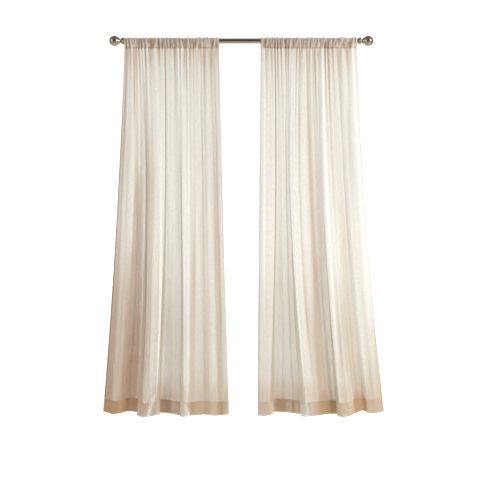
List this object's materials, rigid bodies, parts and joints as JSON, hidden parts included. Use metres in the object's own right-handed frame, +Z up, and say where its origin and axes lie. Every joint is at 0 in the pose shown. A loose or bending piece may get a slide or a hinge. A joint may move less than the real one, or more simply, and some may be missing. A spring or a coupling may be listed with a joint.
{
  "type": "sheer voile curtain pair on rod",
  "caption": "Sheer rod-pocket curtain panels gathered in uneven folds on a slim metal rod with a ball finial at each end.",
  "frame": {"origin": "on the rod's axis, halfway along the rod", "axes": "+X along the rod to the right of someone in the room, -Y towards the room, +Z up"},
  "size_m": [1.5978, 0.0993, 2.1355],
  "materials": {
    "voile": "sheer cream weave with slubs",
    "metal": "satin nickel"
  },
  "bodies": {
    "root": {"rod_tube": "metal", "finial_left": "metal", "finial_right": "metal", "panel_left": "voile", "panel_right": "voile"}
  },
  "joints": []
}
